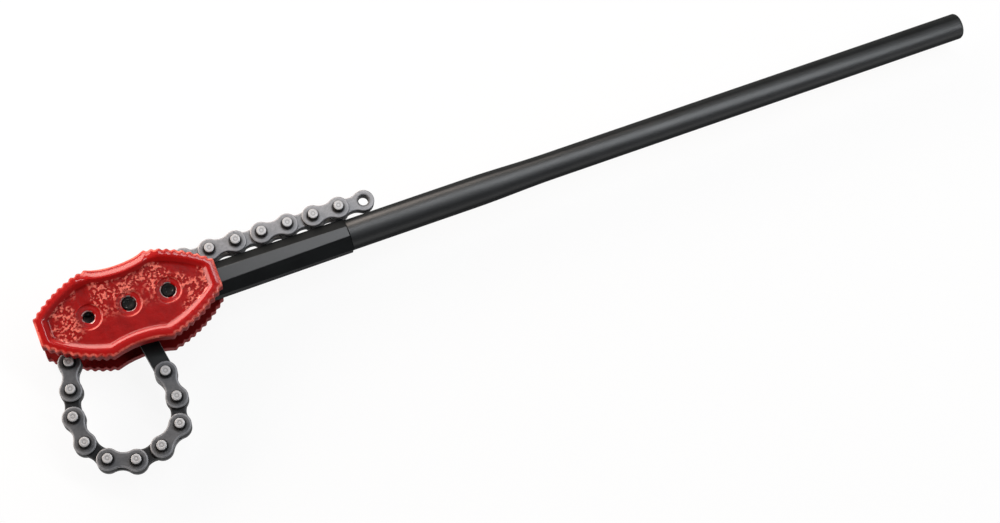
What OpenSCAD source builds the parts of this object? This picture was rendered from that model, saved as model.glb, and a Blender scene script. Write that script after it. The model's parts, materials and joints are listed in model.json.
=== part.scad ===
// Chain tongs: two double-ended forged jaws bolted to the sides of a forked shank, a round handle bar
// on the shank's far end, and a flat-link chain. The chain is held at the centre bolt by an anchor
// link, hangs in a loop, and comes back between the jaws to lie along the neck.

/* [Jaws] */
// Length of a jaw from nose to nose
jaw_l = 170; // [150:1:190]
// Width of a jaw over its widest teeth
jaw_w = 87; // [84:1:100]
// Width of a jaw at its middle
waist_w = 78; // [66:1:82]
// Width of a jaw's square nose
nose_w = 27; // [20:1:34]
// Distance from the middle of a jaw to its widest place
shoulder_x = 28; // [22:1:34]
// How far a toothed edge bows outwards
edge_bulge = 4; // [1:0.1:6]
// Thickness of a jaw at its rim
jaw_t = 15; // [12:0.5:18]
// Depth of the sunk panel in a jaw's outer face
panel_depth = 4; // [2:0.5:5]
// Width of the flat rim around the panel
rim_w = 7.5; // [3.5:0.5:11]
// Width of the panel's sloping wall
slope_w = 5; // [2:0.5:7]
// Grooves along one toothed edge
groove_n = 9; // [6:1:14]
// Depth of a groove between two teeth
groove_depth = 2; // [1:0.1:3]
// Share of the tooth pitch that is left flat on a tooth's tip
tip_share = 0.25; // [0.1:0.05:0.5]

/* [Bolts] */
// Diameter of the two jaw bolts
bolt_d = 12.7; // [10:0.1:14]
// Spacing of the three holes along a jaw
hole_pitch = 37.5; // [35:0.5:42]
// Hexagon size of a bolt head across its flats
head_af = 19; // [16:0.5:22]
// Height of a bolt head
head_t = 8; // [6:0.5:9]
// How far a bolt head lies below the rear rim
head_sink = 0.5; // [0.2:0.1:2]
// Room for a socket around a bolt head
socket_room = 2; // [1:0.5:3]
// Room around a bolt in its holes
bolt_clear = 0.05; // [0.02:0.01:0.1]
// Core diameter of the spare tapped hole
core_d = 10.4; // [8:0.1:12]
// Depth of the chamfer at the mouth of a front hole
mouth_chamfer = 1.2; // [0.5:0.1:2]
// Diameter of the spot face around a front hole
spot_d = 24; // [20:0.5:28]
// Depth of the spot face
spot_depth = 1.2; // [0.5:0.1:2]
// How far a bolt's tip lies below its spot face
tip_sink = 0.4; // [0.1:0.1:2]
// Chamfer on a bolt's tip
tip_chamfer = 1; // [0.5:0.1:2]

/* [Shank and handle] */
// Shank across its flats, which is also the slot between the jaws
shank_af = 32; // [29:0.5:34]
// Centre bolt to the seam where the handle bar begins
shank_l = 213; // [180:1:260]
// Centre bolt to the end of the shank's square part
square_l = 66; // [56:1:76]
// Gap between the two ears of the fork
fork_gap = 19; // [18:0.5:20]
// Centre bolt to the bottom of the fork
fork_depth = 24; // [22:0.5:26]
// Centre bolt to the tip of a horn that a chain pin seats against
horn_reach = 20.5; // [18:0.5:21]
// Step from the tongue's sides in to the fork's rounded ears
ear_step = 1; // [0.5:0.5:2]
// Radius of a horn
horn_r = 4.5; // [3:0.5:6]
// Angle of the horns from the handle's direction
horn_angle = 135; // [120:1:150]
// Leg of the neck's corner cuts beside the jaws
corner_near = 9; // [7:0.5:11]
// Leg of the neck's corner cuts at the seam
corner_far = 11; // [8:0.5:12]
// Diameter of the handle bar's thicker root
root_d = 29.4; // [28:0.1:31]
// Length of the thicker root
root_l = 127; // [80:1:180]
// Length of the taper between the root and the plain bar
taper_l = 80; // [40:1:120]
// Diameter of the plain handle bar
bar_d = 26.4; // [24:0.1:28]
// Length of the handle bar
bar_l = 662; // [400:1:900]
// Rounding at the handle bar's end
bar_round = 3; // [1:0.5:6]
// Diameter of the shank's spigot inside the bar
spigot_d = 16; // [12:0.5:20]
// Length of the spigot
spigot_l = 50; // [30:1:80]
// Room around the spigot
spigot_clear = 0.05; // [0.02:0.01:0.1]
// Room past the spigot's end
spigot_room = 2; // [1:0.5:5]

/* [Anchor link] */
// Diameter of the anchor link's hub on the centre bolt
hub_d = 24; // [21:0.5:27]
// Width of the anchor link's bar
anchor_w = 17; // [13:0.5:18]
// Diameter of the anchor link's eye on the first chain pin
eye_d = 21; // [17:0.5:22]
// Room at each side of the hub in the fork
hub_gap = 0.2; // [0.1:0.1:0.5]

/* [Chain] */
// Distance from pin to pin
pitch = 25.4; // [24.8:0.1:26.4]
// Diameter of a chain pin
pin_d = 9.5; // [8:0.1:10]
// Diameter of a plate's round end
lobe_d = 21; // [19:0.5:22.5]
// Width of a plate at its waist
plate_waist = 14; // [11:0.5:17]
// Thickness of one inner plate
inner_t = 4.8; // [4:0.1:4.9]
// Thickness of one outer plate
outer_t = 4; // [3:0.1:4]
// Gap between the two inner plates
inner_gap = 0.2; // [0.1:0.1:0.4]
// Gap between an inner and an outer plate
side_gap = 0.3; // [0.2:0.1:0.4]
// Gap between a pin's end and the jaws
pin_gap = 0.5; // [0.3:0.1:1]
// Chamfer on a pin's ends
pin_chamfer = 0.7; // [0.2:0.1:1.5]
// Room around a pin in the plates that it is held by
held_clear = 0.02; // [0.01:0.01:0.04]
// Room around a pin in the plates that turn on it
run_clear = 0.1; // [0.05:0.01:0.1]
// Gap between the shank's side and the chain that lies along it
tail_gap = 2; // [1.8:0.1:3]
// Distance along the handle from the centre bolt to the pin where the chain comes straight
tail_x = 10; // [8:0.5:12]

/* [Hidden] */
$fn = 64;
// Number of the pin where the chain comes straight
TAIL_N = 14;
// Direction of each link in degrees, from the anchor link's pin around the loop to the loose end
HEADINGS = [
  -86, -103, -148, -171, -202, -236, -265, -283, -285, -299, -315,
  -332, -345, -360, -360, -360, -360.7, -360.7, -360.7, -360.7, -360.7, -360.7
];
LINK_N = len(HEADINGS);
PAIR_N = LINK_N / 2;
// A cut reaches this far past the face that it opens
PAST = 1;

slot_half = shank_af / 2;
rim_z = slot_half + jaw_t;
panel_z = rim_z - panel_depth;
spot_z = panel_z - spot_depth;
seat_z = rim_z - head_sink - head_t;
bolt_hole_d = bolt_d + 2 * bolt_clear;
head_room_d = head_af / cos(30) + 2 * socket_room;
hole_xs = [-hole_pitch, 0, hole_pitch];
bolt_xs = [0, hole_pitch];

handle_end = shank_l + bar_l;
hub_t = fork_gap - 2 * hub_gap;
inner_half = inner_t + inner_gap / 2;
outer_z = inner_half + side_gap;
pin_half = slot_half - pin_gap;
tail_y = slot_half + tail_gap + lobe_d / 2;

function toward(angle) = [cos(angle), sin(angle)];
function chain_pin(k) =
  k == TAIL_N ? [tail_x, tail_y]
  : k > TAIL_N ? chain_pin(k - 1) + pitch * toward(HEADINGS[k - 2])
  : chain_pin(k + 1) - pitch * toward(HEADINGS[k - 1]);
PINS = [for (k = [1 : LINK_N + 1]) chain_pin(k)];
anchor_l = norm(PINS[0]);
anchor_angle = atan2(PINS[0].y, PINS[0].x);

// The frame's origin is the middle of the underside of the whole tool's box
box_x_min = min(-jaw_l / 2, min([for (p = PINS) p.x]) - lobe_d / 2);
box_x_mid = (box_x_min + handle_end) / 2;
box_y_min = min(-jaw_w / 2, min([for (p = PINS) p.y]) - lobe_d / 2);
box_y_max = max(jaw_w / 2, max([for (p = PINS) p.y]) + lobe_d / 2);
box_y_mid = (box_y_min + box_y_max) / 2;

function numbered(name, i) = str(name, i < 10 ? "_0" : "_", i);
FIXED_NODES = [
  "jaw_front", "jaw_rear", "handle_shank", "handle_bar", "chain_bolt", "jaw_bolt", "anchor_link"
];

// Puts a piece that is drawn about the centre bolt into the tool's frame
module placed() {
  translate([-box_x_mid, -box_y_mid, rim_z]) children();
}

// Outline of a jaw

// One toothed edge is an arc from the nose's corner to the shoulder
nose_corner = [jaw_l / 2, nose_w / 2];
shoulder = [shoulder_x, jaw_w / 2];
edge_chord = norm(shoulder - nose_corner);
edge_r = (pow(edge_chord / 2, 2) + pow(edge_bulge, 2)) / (2 * edge_bulge);
edge_side = (shoulder - nose_corner) / edge_chord;
edge_mid = (shoulder + nose_corner) / 2;
edge_centre = edge_mid + (edge_r - edge_bulge) * [-edge_side.y, edge_side.x];
edge_half_angle = asin(edge_chord / 2 / edge_r);
edge_mid_angle = atan2(edge_mid.y - edge_centre.y, edge_mid.x - edge_centre.x);
function edge_point(t, depth) =
  edge_centre + (edge_r - depth) * toward(edge_mid_angle + (2 * t - 1) * edge_half_angle);
groove_pitch = 1 / groove_n;
toothed_edge = [
  nose_corner,
  for (i = [0 : groove_n - 1], step = [[tip_share / 2, 0], [0.5, groove_depth], [1 - tip_share / 2, 0]])
    edge_point((i + step[0]) * groove_pitch, step[1]),
  shoulder
];
PLAIN_STEPS = 6;
plain_edge = [for (i = [0 : PLAIN_STEPS]) edge_point(i / PLAIN_STEPS, 0)];

// The waist is a hollow arc between the two shoulders
waist_sag = (jaw_w - waist_w) / 2;
waist_r = (pow(shoulder_x, 2) + pow(waist_sag, 2)) / (2 * waist_sag);
WAIST_STEPS = 16;
waist_half_angle = asin(shoulder_x / waist_r);
waist_arc = [
  for (i = [1 : WAIST_STEPS - 1])
    [0, waist_w / 2 + waist_r] + waist_r * toward(270 + (1 - 2 * i / WAIST_STEPS) * waist_half_angle)
];

function flipped_x(points) = [for (i = [len(points) - 1 : -1 : 0]) [-points[i].x, points[i].y]];
function jaw_outline(edge) =
  let (upper = concat(edge, waist_arc, flipped_x(edge)))
  concat(upper, [for (p = upper) -p]);

// Sunk panel with sloping walls, open towards +Z
module panel_cut() {
  floor_l = jaw_l / 2 - rim_w - slope_w;
  floor_w = waist_w / 2 - rim_w - slope_w;
  taper = [floor_l / (floor_l + slope_w), floor_w / (floor_w + slope_w)];
  translate([0, 0, rim_z])
    mirror([0, 0, 1])
      linear_extrude(panel_depth, scale = taper, slices = 1)
        offset(delta = -rim_w)
          polygon(jaw_outline(plain_edge));
  translate([0, 0, rim_z])
    linear_extrude(PAST)
      offset(delta = -rim_w)
        polygon(jaw_outline(plain_edge));
}

// Jaw with its panel and no holes, on the +Z side of the slot
module jaw_blank() {
  difference() {
    translate([0, 0, slot_half])
      linear_extrude(jaw_t)
        polygon(jaw_outline(toothed_edge));
    panel_cut();
  }
}

// Hole along Z from below the slot face up to z_top
module jaw_hole(d, z_top) {
  translate([0, 0, slot_half - PAST])
    cylinder(h = z_top - slot_half + PAST, d = d);
}

// Front jaw: two tapped holes for the bolts and a spare one, each with a spot face
module jaw_front() {
  color("firebrick")
    placed()
      difference() {
        jaw_blank();
        for (x = hole_xs)
          translate([x, 0, 0]) {
            hole_d = x < 0 ? core_d : bolt_hole_d;
            jaw_hole(hole_d, spot_z + PAST);
            translate([0, 0, spot_z - mouth_chamfer])
              cylinder(h = mouth_chamfer, d1 = hole_d, d2 = hole_d + 2 * mouth_chamfer);
            translate([0, 0, spot_z])
              cylinder(h = spot_depth + PAST, d = spot_d);
          }
      }
}

// Rear jaw: three plain holes, counterbored so that the bolt heads lie below the rim
module jaw_rear() {
  color("maroon")
    placed()
      mirror([0, 0, 1])
        difference() {
          jaw_blank();
          for (x = hole_xs)
            translate([x, 0, 0]) {
              jaw_hole(bolt_hole_d, rim_z);
              translate([0, 0, seat_z])
                cylinder(h = rim_z - seat_z + PAST, d = head_room_d);
            }
        }
}

// Flat outline of the shank's rounded ears, horns and straight sides
module shank_plan() {
  circle(slot_half - ear_step);
  translate([0, -slot_half])
    square([shank_l, shank_af]);
  for (side = [-1, 1])
    rotate(side * horn_angle)
      translate([horn_reach - horn_r, 0])
        circle(horn_r);
}

// Sloping cut that takes one corner off the neck, turned about the handle's axis
module neck_corner(turn) {
  run = shank_l - square_l;
  tilt = atan((corner_far - corner_near) / sqrt(2) / run);
  reach = (shank_af - corner_near) / sqrt(2);
  translate([square_l, 0, 0])
    rotate([turn, 0, 0])
      translate([0, 0, reach])
        rotate([0, tilt, 0])
          translate([0, -shank_af, 0])
            cube([2 * run, 2 * shank_af, shank_af]);
}

// Shank: a forked square tongue between the jaws, an eight-sided neck and a spigot for the bar
module handle_shank() {
  color("#2a2d30")
    placed() {
      difference() {
        linear_extrude(shank_af, center = true)
          shank_plan();
        for (turn = [45 : 90 : 315])
          neck_corner(turn);
        translate([fork_depth - 2 * shank_af, -shank_af, -fork_gap / 2])
          cube([2 * shank_af, 2 * shank_af, fork_gap]);
        for (x = bolt_xs)
          translate([x, 0, -shank_af])
            cylinder(h = 2 * shank_af, d = bolt_hole_d);
      }
      translate([shank_l - PAST, 0, 0])
        rotate([0, 90, 0])
          cylinder(h = spigot_l + PAST, d = spigot_d);
    }
}

// Handle bar: a thicker root with a socket for the spigot, a taper and a plain bar with a rounded end
module handle_bar() {
  bar_r = bar_d / 2;
  round_from = bar_l - bar_round;
  color("#1d1f21")
    placed()
      translate([shank_l, 0, 0])
        rotate([0, 90, 0])
          rotate_extrude()
            difference() {
              union() {
                polygon([
                  [0, 0], [root_d / 2, 0], [root_d / 2, root_l], [bar_r, root_l + taper_l],
                  [bar_r, round_from], [0, round_from]
                ]);
                square([bar_r - bar_round, bar_l]);
                translate([bar_r - bar_round, round_from])
                  circle(bar_round);
              }
              translate([0, -PAST])
                square([spigot_d / 2 + spigot_clear, spigot_l + spigot_room + PAST]);
            }
}

// Bolt put in from the rear: hexagon head, shank and chamfered tip
module bolt() {
  tip_z = spot_z - tip_sink;
  translate([0, 0, -seat_z - head_t])
    cylinder(h = head_t, d = head_af / cos(30), $fn = 6);
  translate([0, 0, -seat_z])
    cylinder(h = seat_z + tip_z - tip_chamfer, d = bolt_d);
  translate([0, 0, tip_z - tip_chamfer])
    cylinder(h = tip_chamfer, d1 = bolt_d, d2 = bolt_d - 2 * tip_chamfer);
}

// Bolt at the middle of the jaws, which also holds the chain's anchor link
module chain_bolt() {
  color("#202020")
    placed()
      bolt();
}

// Bolt nearer the handle, which keeps the jaws from turning on the shank
module jaw_bolt() {
  color("#202020")
    placed()
      translate([hole_pitch, 0, 0])
        bolt();
}

// Anchor link: a thick hub in the fork and a flat bar that ends in an eye for the first pin
module anchor_link() {
  color("#303336")
    placed()
      rotate(anchor_angle)
        difference() {
          union() {
            translate([0, 0, -hub_t / 2])
              cylinder(h = hub_t, d = hub_d);
            translate([0, -anchor_w / 2, -inner_half])
              cube([anchor_l, anchor_w, 2 * inner_half]);
            translate([anchor_l, 0, -inner_half])
              cylinder(h = 2 * inner_half, d = eye_d);
          }
          translate([0, 0, -hub_t])
            cylinder(h = 2 * hub_t, d = bolt_d + 2 * run_clear);
          translate([anchor_l, 0, -hub_t])
            cylinder(h = 2 * hub_t, d = pin_d + 2 * run_clear);
        }
}

// Flat outline of a chain plate from pin to pin, with a hollowed waist
module plate_outline(clear) {
  lobe_r = lobe_d / 2;
  waist_half = plate_waist / 2;
  hollow_r = (pow(pitch / 2, 2) + pow(waist_half, 2) - pow(lobe_r, 2)) / (2 * (lobe_r - waist_half));
  hollow_y = waist_half + hollow_r;
  meet_x = pitch / 2 * hollow_r / (hollow_r + lobe_r);
  meet_y = hollow_y * lobe_r / (hollow_r + lobe_r);
  difference() {
    union() {
      for (x = [0, pitch])
        translate([x, 0])
          circle(d = lobe_d);
      difference() {
        translate([pitch / 2 - meet_x, -meet_y])
          square([2 * meet_x, 2 * meet_y]);
        for (side = [-1, 1])
          translate([pitch / 2, side * hollow_y])
            circle(hollow_r);
      }
    }
    for (x = [0, pitch])
      translate([x, 0])
        circle(d = pin_d + 2 * clear);
  }
}

// Puts a piece that is drawn along +X onto link k, with its first pin at the origin
module on_link(k) {
  placed()
    translate(PINS[k - 1])
      rotate(HEADINGS[k - 1])
        children();
}

// Two plates of thickness t, one on each side of the middle plane, from height z outwards
module plate_pair(t, z, clear) {
  for (side = [0, 1])
    mirror([0, 0, side])
      translate([0, 0, z])
        linear_extrude(t)
          plate_outline(clear);
}

// Pin that stands proud of the outer plates at both ends
module chain_pin_body() {
  straight = pin_half - pin_chamfer;
  translate([0, 0, -straight])
    cylinder(h = 2 * straight, d = pin_d);
  for (side = [0, 1])
    mirror([0, 0, side])
      translate([0, 0, straight])
        cylinder(h = pin_chamfer, d1 = pin_d, d2 = pin_d - 2 * pin_chamfer);
}

// Outer plates of the i-th outer link
module outer_plates(i) {
  color("dimgray")
    on_link(2 * i - 1)
      plate_pair(outer_t, outer_z, held_clear);
}

// The two pins that the i-th outer link carries
module link_pins(i) {
  color("silver")
    on_link(2 * i - 1)
      for (x = [0, pitch])
        translate([x, 0, 0])
          chain_pin_body();
}

// Inner plates of the i-th inner link, the last of which ends in an open eye
module inner_plates(i) {
  color("gray")
    on_link(2 * i)
      plate_pair(inner_t, inner_gap / 2, run_clear);
}

jaw_front();
jaw_rear();
handle_shank();
handle_bar();
chain_bolt();
jaw_bolt();
anchor_link();
for (i = [1 : PAIR_N]) {
  outer_plates(i);
  link_pins(i);
  inner_plates(i);
}
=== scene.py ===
"""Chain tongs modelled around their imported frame.

They have two forged jaws, a shank, a handle bar, two bolts, an anchor link and a flat-link chain.
"""

import json
import math

import bpy
from bpy.props import FloatProperty, FloatVectorProperty, IntProperty, PointerProperty
from mathutils import Matrix, Vector
from mathutils.kdtree import KDTree


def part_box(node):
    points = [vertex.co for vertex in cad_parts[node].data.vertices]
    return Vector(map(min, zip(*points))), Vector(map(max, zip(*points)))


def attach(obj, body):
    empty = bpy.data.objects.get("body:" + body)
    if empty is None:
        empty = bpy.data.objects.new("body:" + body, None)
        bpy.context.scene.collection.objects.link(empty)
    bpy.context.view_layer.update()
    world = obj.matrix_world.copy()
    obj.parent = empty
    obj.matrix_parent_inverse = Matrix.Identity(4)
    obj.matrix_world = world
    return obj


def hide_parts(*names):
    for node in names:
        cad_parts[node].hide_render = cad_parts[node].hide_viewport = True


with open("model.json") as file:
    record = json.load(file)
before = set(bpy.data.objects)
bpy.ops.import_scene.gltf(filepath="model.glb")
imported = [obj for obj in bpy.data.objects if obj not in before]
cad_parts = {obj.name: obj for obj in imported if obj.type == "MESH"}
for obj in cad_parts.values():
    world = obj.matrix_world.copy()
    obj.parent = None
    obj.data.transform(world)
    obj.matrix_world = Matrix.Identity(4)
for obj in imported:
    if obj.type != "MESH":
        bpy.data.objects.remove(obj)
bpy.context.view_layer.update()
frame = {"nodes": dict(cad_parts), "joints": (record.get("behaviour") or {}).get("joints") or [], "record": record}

bl_info = {
    "name": "Chain Tongs",
    "version": (1, 0, 0),
    "blender": (4, 5, 0),
    "location": "View3D > Sidebar > Chain Tongs",
    "description": "Models chain tongs around their packed frame",
    "category": "Object",
}

MM = 0.001
JOINT_AT = {joint["name"]: Vector(joint["pos_m"]) for joint in frame["joints"]}
MOUNT_AT = {mount["name"]: Vector(mount["pos_m"]) for mount in frame["record"]["mounts"]}
# The centre bolt's axis where it crosses the plane half way between the jaws
CENTRE = JOINT_AT["anchor_swing"]
LINK_COUNT = sum(name.startswith("chain_pin") for name in JOINT_AT)
PIN_AT = [JOINT_AT[f"chain_pin_{k:02d}"] for k in range(1, LINK_COUNT + 1)] + [MOUNT_AT["chain_end_eye"]]
LINK_PITCH = (PIN_AT[1] - PIN_AT[0]).length
HOLE_PITCH = sum(corner.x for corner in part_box("jaw_bolt")) / 2 - CENTRE.x
RIM_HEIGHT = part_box("jaw_front")[1].z - CENTRE.z
SLOT_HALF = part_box("jaw_front")[0].z - CENTRE.z
SEAM_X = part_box("handle_bar")[0].x
BAR_END_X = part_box("handle_bar")[1].x
TIP_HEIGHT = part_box("chain_bolt")[1].z - CENTRE.z
HEAD_HEIGHT = CENTRE.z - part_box("chain_bolt")[0].z
PIN_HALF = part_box("link_pins_01")[1].z - CENTRE.z
# The attributes that hold a piece's normals, and its mark from -1 for painted shadow around the chain pins and the
# darker turned ring on the pins' ends, to 1 for an edge painted pale as wear and as painted highlight, and for the
# spot faces' lip painted pale as highlight
FACING = "facing"
WEAR_AND_LIGHT = "wear_and_light"
# Edges that turn by more degrees than the first are rounded, and by more than the second stay sharp
ROUNDED_TURN = 28
SHARP_TURN = 50


def length(name, description, default_mm):
    """A length setting that is written in millimetres and kept in metres."""
    return FloatProperty(
        name=name, description=description, default=default_mm * MM, unit="LENGTH", precision=5,
    )


def fraction(name, description, default):
    """A setting between 0 and 1."""
    return FloatProperty(
        name=name, description=description, default=default, min=0, max=1, subtype="FACTOR",
    )


def passes(name, description, default):
    """A count of smoothing passes."""
    return IntProperty(name=name, description=description, default=default, min=0)


def power(name, description, default):
    """A lamp's power in watts."""
    return FloatProperty(name=name, description=description, default=default, min=0, unit="POWER")


def colour(name, description, default):
    """A linear colour setting."""
    return FloatVectorProperty(
        name=name, description=description, default=default, subtype="COLOR", min=0, max=1,
    )


class JawSettings(bpy.types.PropertyGroup):
    """Sizes and paint of the two forged jaws."""

    skin: length("Skin", "Grid of the forged skin", 0.75)
    softening: passes("Softening", "Passes that soften the whole forging", 3)
    rounding: passes("Rounding", "Passes that round the outer face's edges", 22)
    rounded: length("Rounded", "Height of the rounding below the rim", 3.5)
    crest_shift: length("Crest shift", "Shift of the rim's crest towards the holes at the upper waist", 2.6)
    draft_width: length("Draft width", "Width of the rim's slope at the upper waist", 10)
    draft_drop: length("Draft drop", "Drop of the rim's slope at the upper waist", 7.5)
    steep_width: length("Steep width", "Width of the steeper outer part of the slope", 4.5)
    steep_share: fraction("Steep share", "Share of the drop that the steeper part adds", 0.27)
    tooth_reach: length("Tooth reach", "Width of the rim that the teeth are cut into", 5.5)
    toothed: fraction("Toothed", "Share of the rounding that toothed edges lack", 0.7)
    plain_draft: fraction("Plain draft", "Share of the slope on the other edges", 0.12)
    easing: passes("Easing", "Passes that ease the step of the spot faces", 6)
    spot_edge: length("Spot edge", "Radius of the spot faces around the holes", 12)
    spot_rise: length("Spot rise", "Rise of a spot face's left side, level with the panel", 1.2)
    spot_sink: length("Spot sink", "Sink of a spot face's right side", 1.5)
    # The lip's deep side is painted pale as highlight
    lip_width: length("Lip width", "Half the width of the worn lip of a spot face", 1.3)
    pebble: length("Pebbles", "Size of the pebbles on the sunk panel", 4.0)
    pebble_depth: length("Pebble depth", "Height of the pebbles on the sunk panel", 0.28)
    panel_depth: length("Panel depth", "Depth of the sunk panel below the rim", 4.0)
    bolt_hole: length("Bolt hole", "Radius of the two bolt holes", 6.4)
    spare_hole: length("Spare hole", "Radius of the empty hole", 5.2)
    bare_ring: length("Bare ring", "Width of the bare chamfer around a hole", 1.3)
    enamel: colour("Enamel", "Red enamel", (0.28, 0.0022, 0.0018))
    # Pale enamel: painted highlight on the panel's dabs and the spot faces' lip, and partly wear and partly
    # painted highlight on the edges
    rubbed_and_highlit: colour("Rubbed enamel", "Enamel rubbed thin on the high specks", (0.9, 0.2, 0.15))
    steel: colour("Bare steel", "Cut steel around the holes", (0.6, 0.5, 0.48))


class HandleSettings(bpy.types.PropertyGroup):
    """Sizes and paint of the shank and the handle bar."""

    neck_edge: length("Neck edge", "Rounding of the neck's edges", 1.1)
    root_radius: length("Root radius", "Radius of the bar's thicker root", 14.9)
    root_length: length("Root length", "Length of the thicker root", 127)
    taper_length: length("Taper length", "Length of the taper behind the root", 80)
    bar_radius: length("Bar radius", "Radius of the plain bar", 13.2)
    end_round: length("End rounding", "Rounding of the bar's free end", 3)
    seam: length("Seam", "Chamfer at the seam", 0.7)
    black: colour("Black", "Satin black paint", (0.006, 0.0072, 0.0078))


class BoltSettings(bpy.types.PropertyGroup):
    """Sizes and finish of the two jaw bolts."""

    radius: length("Radius", "Radius of a bolt", 6.35)
    head_radius: length("Head radius", "Half the head's width across its corners", 10.97)
    head_thickness: length("Head thickness", "Thickness of the hexagon head", 8)
    chamfer: length("Chamfer", "Chamfer of a bolt's tip and head", 1)
    dish: length("Dish", "Depth of the dish in a bolt's tip", 0.6)
    oxide: colour("Oxide", "Black oxide", (0.003, 0.003, 0.003))


class ChainSettings(bpy.types.PropertyGroup):
    """Sizes and finishes of the anchor link and the chain."""

    lobe: length("Lobe", "Radius of a plate's round ends", 10.5)
    waist: length("Waist", "Half the width of a plate's waist", 7)
    outer_base: length("Outer base", "Height of the outer plates above the middle", 5.2)
    outer_thickness: length("Outer thickness", "Thickness of an outer plate", 4)
    inner_base: length("Inner base", "Height of the inner plates above the middle", 0.1)
    inner_thickness: length("Inner thickness", "Thickness of an inner plate", 4.8)
    held_hole: length("Held hole", "Radius of an outer plate's holes", 4.77)
    running_hole: length("Running hole", "Radius of an inner plate's holes", 4.85)
    plate_edge: length("Plate edge", "Rounding of a plate's edges", 1.1)
    plate_inset: length("Plate inset", "Inset of a plate's flats from their edges", 2.3)
    # Edges painted lighter, partly as wear and partly as painted highlight
    rubbed_and_highlit_edge: length("Rubbed edge", "Width of the rubbed steel along a plate's outline", 2.4)
    # Outer radius of the shadow painted around a pin
    pin_shadow_ring: length("Oil ring", "Outer radius of the oil around a pin", 7.4)
    pin: length("Pin", "Radius of a pin", 4.75)
    pin_chamfer: length("Pin chamfer", "Chamfer of a pin's ends", 0.7)
    pin_mark: length("Pin mark", "Depth of the turned ring on a pin's ends", 0.14)
    anchor_edge: length("Anchor edge", "Rounding of the anchor link's edges", 1.3)
    # Painted shade and light: the loop's plates are coloured darker and the loose end's plates lighter, for the
    # light each catches
    loop_shade: colour("Oiled steel", "Plates that work around the pipe", (0.126, 0.127, 0.132))
    clean: colour("Clean steel", "Plates of the loose end", (0.258, 0.256, 0.263))
    bright: colour("Bright steel", "Cut ends of the pins", (0.49, 0.49, 0.495))
    anchor: colour("Anchor steel", "Dark forged anchor link", (0.006, 0.0075, 0.0075))


class StageSettings(bpy.types.PropertyGroup):
    """Floor, light and camera."""

    lens: FloatProperty(name="Lens", description="Focal length in millimetres", default=67.18, unit="CAMERA")
    floor: FloatProperty(name="Floor", description="Side of the floor", default=24, unit="LENGTH")
    overhead: power("Overhead", "Power of the overhead strip", 40)
    upper_left: power("Upper left", "Power of the standing softbox", 135)
    fill: FloatProperty(name="Fill", description="Strength of the room's light", default=0.75)


SETTING_GROUPS = {
    "tongs_jaws": JawSettings,
    "tongs_handle": HandleSettings,
    "tongs_bolts": BoltSettings,
    "tongs_chain": ChainSettings,
    "tongs_stage": StageSettings,
}


# Modelling helpers


def take(piece):
    """Makes one piece the only selected and active object."""
    bpy.ops.object.select_all(action="DESELECT")
    bpy.context.view_layer.objects.active = piece
    piece.select_set(True)


class Editing:
    """Edit mode on one piece with all of it selected."""

    def __init__(self, piece):
        self.piece = piece

    def __enter__(self):
        take(self.piece)
        bpy.ops.object.mode_set(mode="EDIT")
        bpy.ops.mesh.select_all(action="SELECT")

    def __exit__(self, *failure):
        bpy.ops.object.mode_set(mode="OBJECT")


def modify(piece, kind, **settings):
    """Adds a modifier to a piece and applies it."""
    take(piece)
    bpy.ops.object.modifier_add(type=kind)
    modifier = piece.modifiers[-1]
    for name, value in settings.items():
        setattr(modifier, name, value)
    bpy.ops.object.modifier_apply(modifier=modifier.name)


def weigh(piece, name, weights):
    """Adds a vertex group from the weight of each vertex index, and returns its name."""
    group = piece.vertex_groups.new(name=name)
    for index, weight in weights.items():
        group.add([index], weight, "REPLACE")
    return name


def smooth(piece, degrees):
    """Smooth shading that keeps edges sharper than an angle."""
    take(piece)
    bpy.ops.object.shade_smooth_by_angle(angle=math.radians(degrees))


def soften_edges(piece, width, segments=3):
    """Rounds a piece's sharp edges."""
    modify(
        piece, "BEVEL", width=width, segments=segments, miter_outer="MITER_ARC", use_clamp_overlap=True,
        limit_method="ANGLE", angle_limit=math.radians(ROUNDED_TURN),
    )
    smooth(piece, SHARP_TURN)
    modify(piece, "WEIGHTED_NORMAL", keep_sharp=True)


def merged_copy(node, name):
    """A copy of a CAD node's mesh with its loose triangles merged into plain faces."""
    mesh = frame["nodes"][node].data.copy()
    mesh.materials.clear()
    piece = bpy.data.objects.new(name, mesh)
    bpy.context.scene.collection.objects.link(piece)
    take(piece)
    bpy.ops.mesh.customdata_custom_splitnormals_clear()
    with Editing(piece):
        bpy.ops.mesh.remove_doubles(threshold=2e-6)
        bpy.ops.mesh.dissolve_limited(angle_limit=math.radians(0.3))
    return piece


def turned(name, rings, sides):
    """A closed round piece on the Z axis, extruded ring by ring from (radius, height) pairs."""
    radius, height = rings[0]
    bpy.ops.object.select_all(action="DESELECT")
    bpy.ops.mesh.primitive_circle_add(
        vertices=sides, radius=radius, fill_type="NGON", location=(0, 0, height),
    )
    piece = bpy.context.active_object
    piece.name = name
    with Editing(piece):
        for next_radius, next_height in rings[1:]:
            bpy.ops.mesh.extrude_region_move(TRANSFORM_OT_translate={"value": (0, 0, next_height - height)})
            grow = next_radius / radius
            bpy.ops.transform.resize(value=(grow, grow, 1), center_override=(0, 0, next_height))
            radius, height = next_radius, next_height
        bpy.ops.mesh.select_all(action="SELECT")
        bpy.ops.mesh.normals_make_consistent(inside=False)
    return set_in_place(piece)


def set_in_place(piece, location=None, rotation=None):
    """Moves and turns a piece, and puts that place into its mesh."""
    if location is not None:
        piece.location = location
    if rotation is not None:
        piece.rotation_euler = rotation
    take(piece)
    bpy.ops.object.transform_apply(location=True, rotation=True, scale=True)
    return piece


def joined(pieces):
    """Joins several solids into one piece."""
    take(pieces[0])
    for piece in pieces[1:]:
        piece.select_set(True)
    bpy.ops.object.join()
    return pieces[0]


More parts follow.
